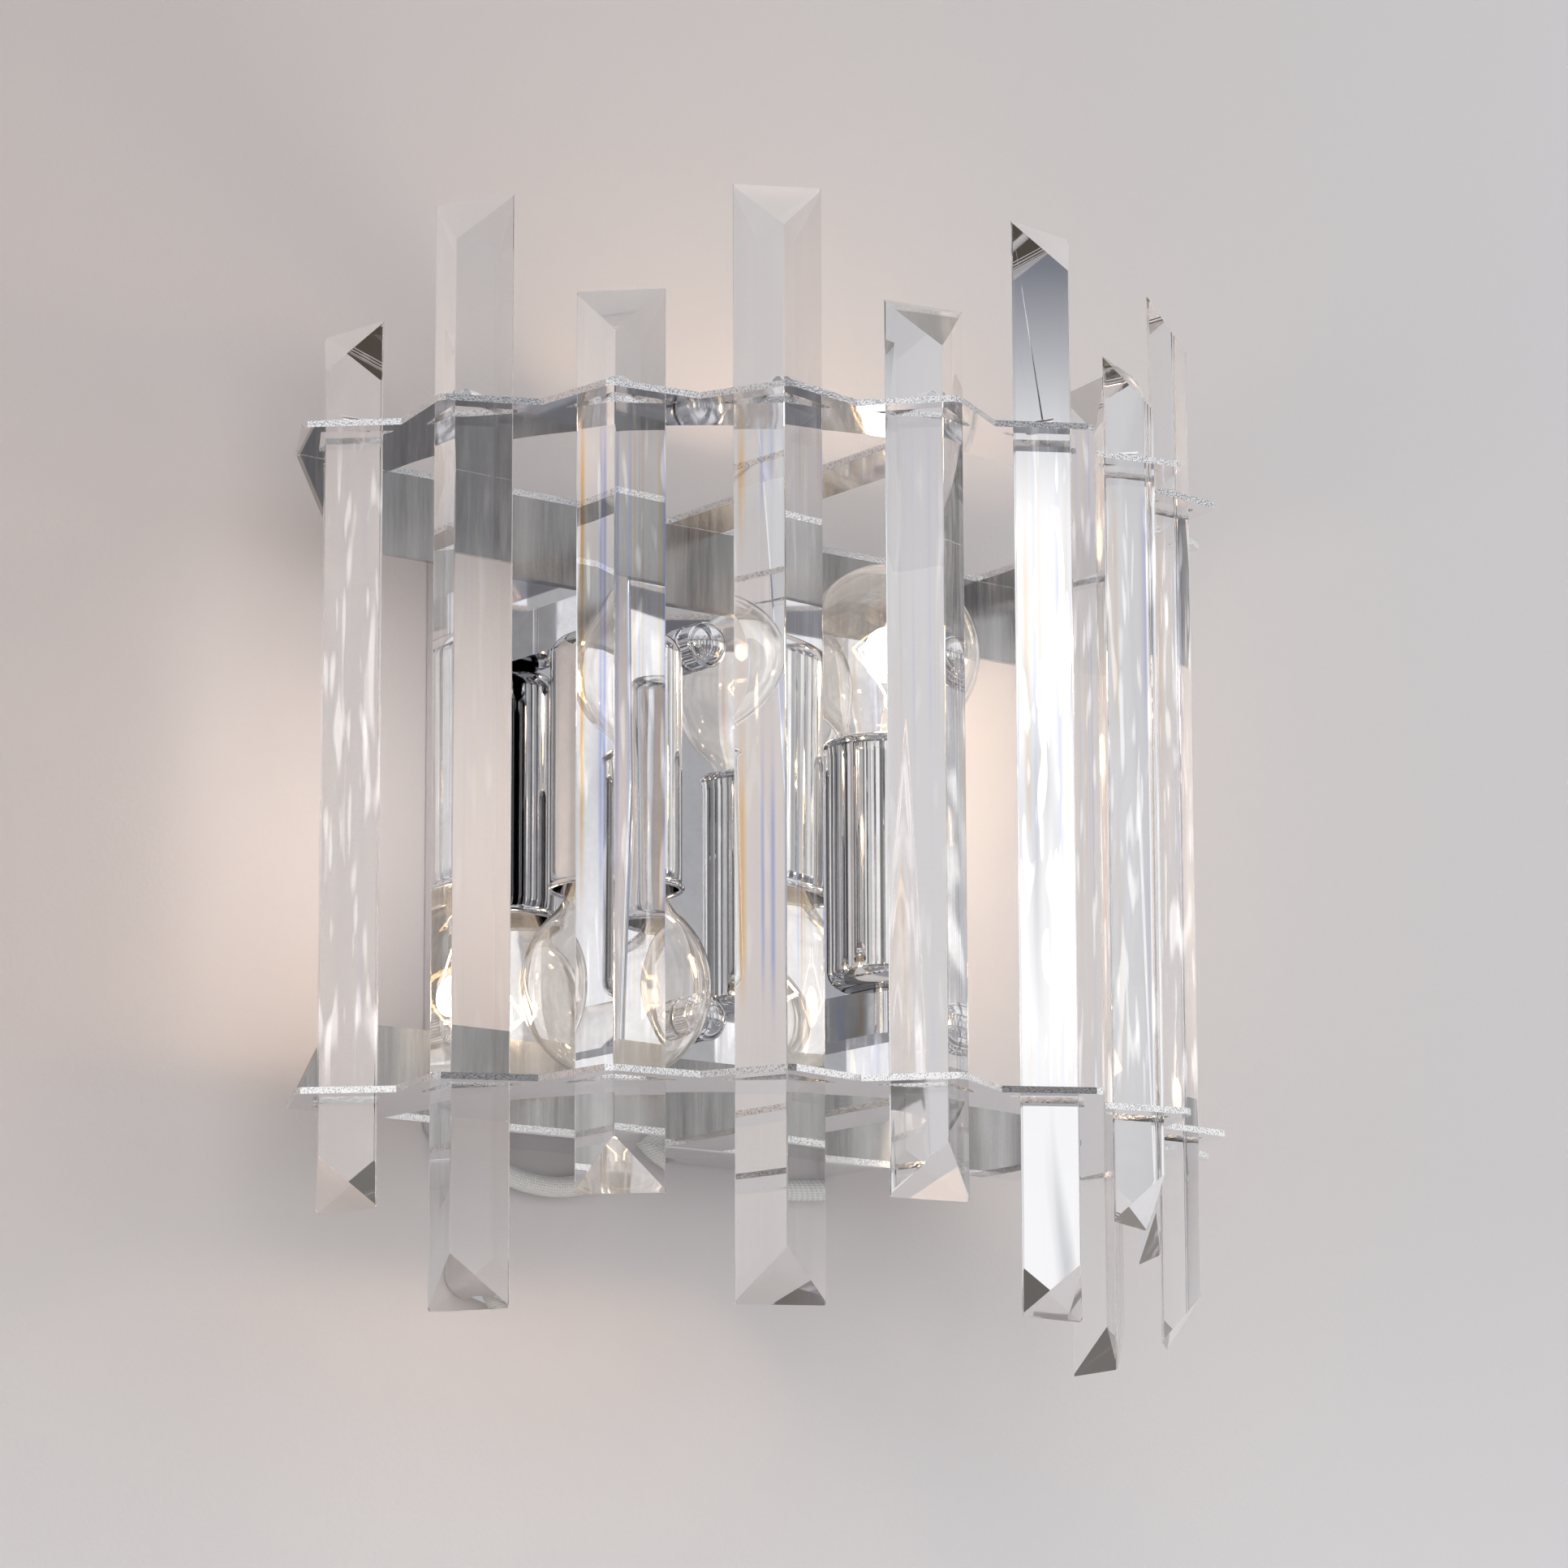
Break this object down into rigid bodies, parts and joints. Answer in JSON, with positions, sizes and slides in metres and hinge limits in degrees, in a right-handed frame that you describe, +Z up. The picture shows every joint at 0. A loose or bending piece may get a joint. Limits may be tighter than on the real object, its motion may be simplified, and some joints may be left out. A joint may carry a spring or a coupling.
{
  "type": "crystal wall sconce",
  "caption": "Wall sconce with two star-edged half-ring plates on a polished cover, hanging three-sided crystal prisms in two lengths, and an up and a down lamp.",
  "frame": {"origin": "centre of the wall bracket's back face, on the wall", "axes": "+Z up, +Y into the wall, the light stands out towards -Y, +X to the right when facing the wall"},
  "size_m": [0.2512, 0.1506, 0.254],
  "materials": {
    "ring_plate": "polished sheet with a fine grain",
    "mirror_cover": "mirror polished",
    "chrome_fittings": "bright chrome",
    "sleeve_chrome": "mirror polished",
    "zinc_steel": "zinc plated",
    "brass_parts": "plain brass",
    "holder_body": "off-white moulded",
    "block_plastic": "off-white moulded",
    "white_braid": "woven braid",
    "lamp_lead": "smooth sleeving",
    "bulb_glass": "clear blown glass",
    "cap_metal": "nickel plated",
    "cap_insulator": "black glass",
    "filament_wire": "glowing wire",
    "crystal": "clear cut crystal",
    "pin_steel": "bright"
  },
  "bodies": {
    "fixture": {"wall_bracket": "zinc_steel", "cover_studs": "zinc_steel", "wall_cover": "mirror_cover", "upper_ring": "ring_plate", "lower_ring": "ring_plate", "ring_nuts": "zinc_steel", "left_arm": "chrome_fittings", "right_arm": "chrome_fittings", "arm_nipples": "zinc_steel", "arm_nuts": "zinc_steel", "left_sleeve": "sleeve_chrome", "right_sleeve": "sleeve_chrome", "holder_nipples": "zinc_steel", "sleeve_nuts": "zinc_steel", "left_holder": "holder_body", "right_holder": "holder_body", "left_socket_shell": "brass_parts", "right_socket_shell": "brass_parts", "holder_contacts": "brass_parts", "terminal_block": "block_plastic", "terminal_screws": "zinc_steel", "earth_screw": "brass_parts", "left_lamp_lead": "lamp_lead", "right_lamp_lead": "lamp_lead", "supply_lead": "white_braid"},
    "left_bulb": {"left_bulb_glass": "bulb_glass", "left_bulb_cap": "cap_metal", "left_bulb_insulator": "cap_insulator", "left_bulb_tip": "cap_metal", "left_bulb_stem": "bulb_glass", "left_bulb_filament": "filament_wire"},
    "right_bulb": {"right_bulb_glass": "bulb_glass", "right_bulb_cap": "cap_metal", "right_bulb_insulator": "cap_insulator", "right_bulb_tip": "cap_metal", "right_bulb_stem": "bulb_glass", "right_bulb_filament": "filament_wire"},
    "upper_nut": {"upper_cover_nut": "chrome_fittings"},
    "lower_nut": {"lower_cover_nut": "chrome_fittings"},
    "prism_1": {"crystal_1": "crystal", "crystal_pin_1": "pin_steel"},
    "prism_2": {"crystal_2": "crystal", "crystal_pin_2": "pin_steel"},
    "prism_3": {"crystal_3": "crystal", "crystal_pin_3": "pin_steel"},
    "prism_4": {"crystal_4": "crystal", "crystal_pin_4": "pin_steel"},
    "prism_5": {"crystal_5": "crystal", "crystal_pin_5": "pin_steel"},
    "prism_6": {"crystal_6": "crystal", "crystal_pin_6": "pin_steel"},
    "prism_7": {"crystal_7": "crystal", "crystal_pin_7": "pin_steel"},
    "prism_8": {"crystal_8": "crystal", "crystal_pin_8": "pin_steel"},
    "prism_9": {"crystal_9": "crystal", "crystal_pin_9": "pin_steel"},
    "prism_10": {"crystal_10": "crystal", "crystal_pin_10": "pin_steel"}
  },
  "joints": [
    {"name": "left_bulb_turn", "type": "hinge", "parent": "fixture", "child": "left_bulb", "pos_m": [-0.041, -0.049, 0], "axis": [0, 0, -1], "continuous": true},
    {"name": "right_bulb_turn", "type": "hinge", "parent": "fixture", "child": "right_bulb", "pos_m": [0.041, -0.049, 0], "axis": [0, 0, 1], "continuous": true},
    {"name": "upper_nut_turn", "type": "hinge", "parent": "fixture", "child": "upper_nut", "pos_m": [0, -0.027, 0.046], "axis": [0, -1, 0], "continuous": true},
    {"name": "lower_nut_turn", "type": "hinge", "parent": "fixture", "child": "lower_nut", "pos_m": [0, -0.027, -0.046], "axis": [0, -1, 0], "continuous": true},
    {"name": "prism_1_lift", "type": "slide", "parent": "fixture", "child": "prism_1", "axis": [0, 0, 1], "range_m": [0, 0.181]},
    {"name": "prism_2_lift", "type": "slide", "parent": "fixture", "child": "prism_2", "axis": [0, 0, 1], "range_m": [0, 0.205]},
    {"name": "prism_3_lift", "type": "slide", "parent": "fixture", "child": "prism_3", "axis": [0, 0, 1], "range_m": [0, 0.181]},
    {"name": "prism_4_lift", "type": "slide", "parent": "fixture", "child": "prism_4", "axis": [0, 0, 1], "range_m": [0, 0.205]},
    {"name": "prism_5_lift", "type": "slide", "parent": "fixture", "child": "prism_5", "axis": [0, 0, 1], "range_m": [0, 0.181]},
    {"name": "prism_6_lift", "type": "slide", "parent": "fixture", "child": "prism_6", "axis": [0, 0, 1], "range_m": [0, 0.205]},
    {"name": "prism_7_lift", "type": "slide", "parent": "fixture", "child": "prism_7", "axis": [0, 0, 1], "range_m": [0, 0.181]},
    {"name": "prism_8_lift", "type": "slide", "parent": "fixture", "child": "prism_8", "axis": [0, 0, 1], "range_m": [0, 0.205]},
    {"name": "prism_9_lift", "type": "slide", "parent": "fixture", "child": "prism_9", "axis": [0, 0, 1], "range_m": [0, 0.181]},
    {"name": "prism_10_lift", "type": "slide", "parent": "fixture", "child": "prism_10", "axis": [0, 0, 1], "range_m": [0, 0.205]}
  ]
}
